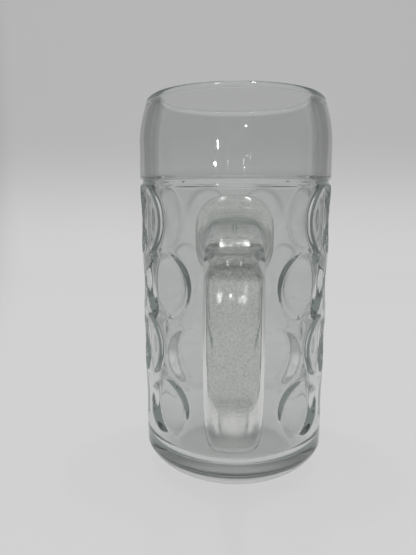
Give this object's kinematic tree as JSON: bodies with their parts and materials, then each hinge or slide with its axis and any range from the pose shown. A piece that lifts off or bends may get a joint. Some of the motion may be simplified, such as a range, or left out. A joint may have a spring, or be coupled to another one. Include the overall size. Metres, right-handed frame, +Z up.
{
  "type": "glass beer stein",
  "caption": "One-litre pressed glass beer stein: plain drinking band, groove, staggered rows of round dimples, thick rounded base and a fused loop handle.",
  "frame": {"origin": "centre of the flat base, on the axis of the body", "axes": "+Z up along the axis of the body, the handle points to -Y, +X to the right as seen from the handle"},
  "size_m": [0.104, 0.1556, 0.2045],
  "materials": {
    "clear_glass": "clear pressed soda-lime glass, fire-polished",
    "handle_glass": "clear pressed glass with a faintly pebbled outer face"
  },
  "bodies": {
    "root": {"glass_body": "clear_glass", "handle": "handle_glass"}
  },
  "joints": []
}
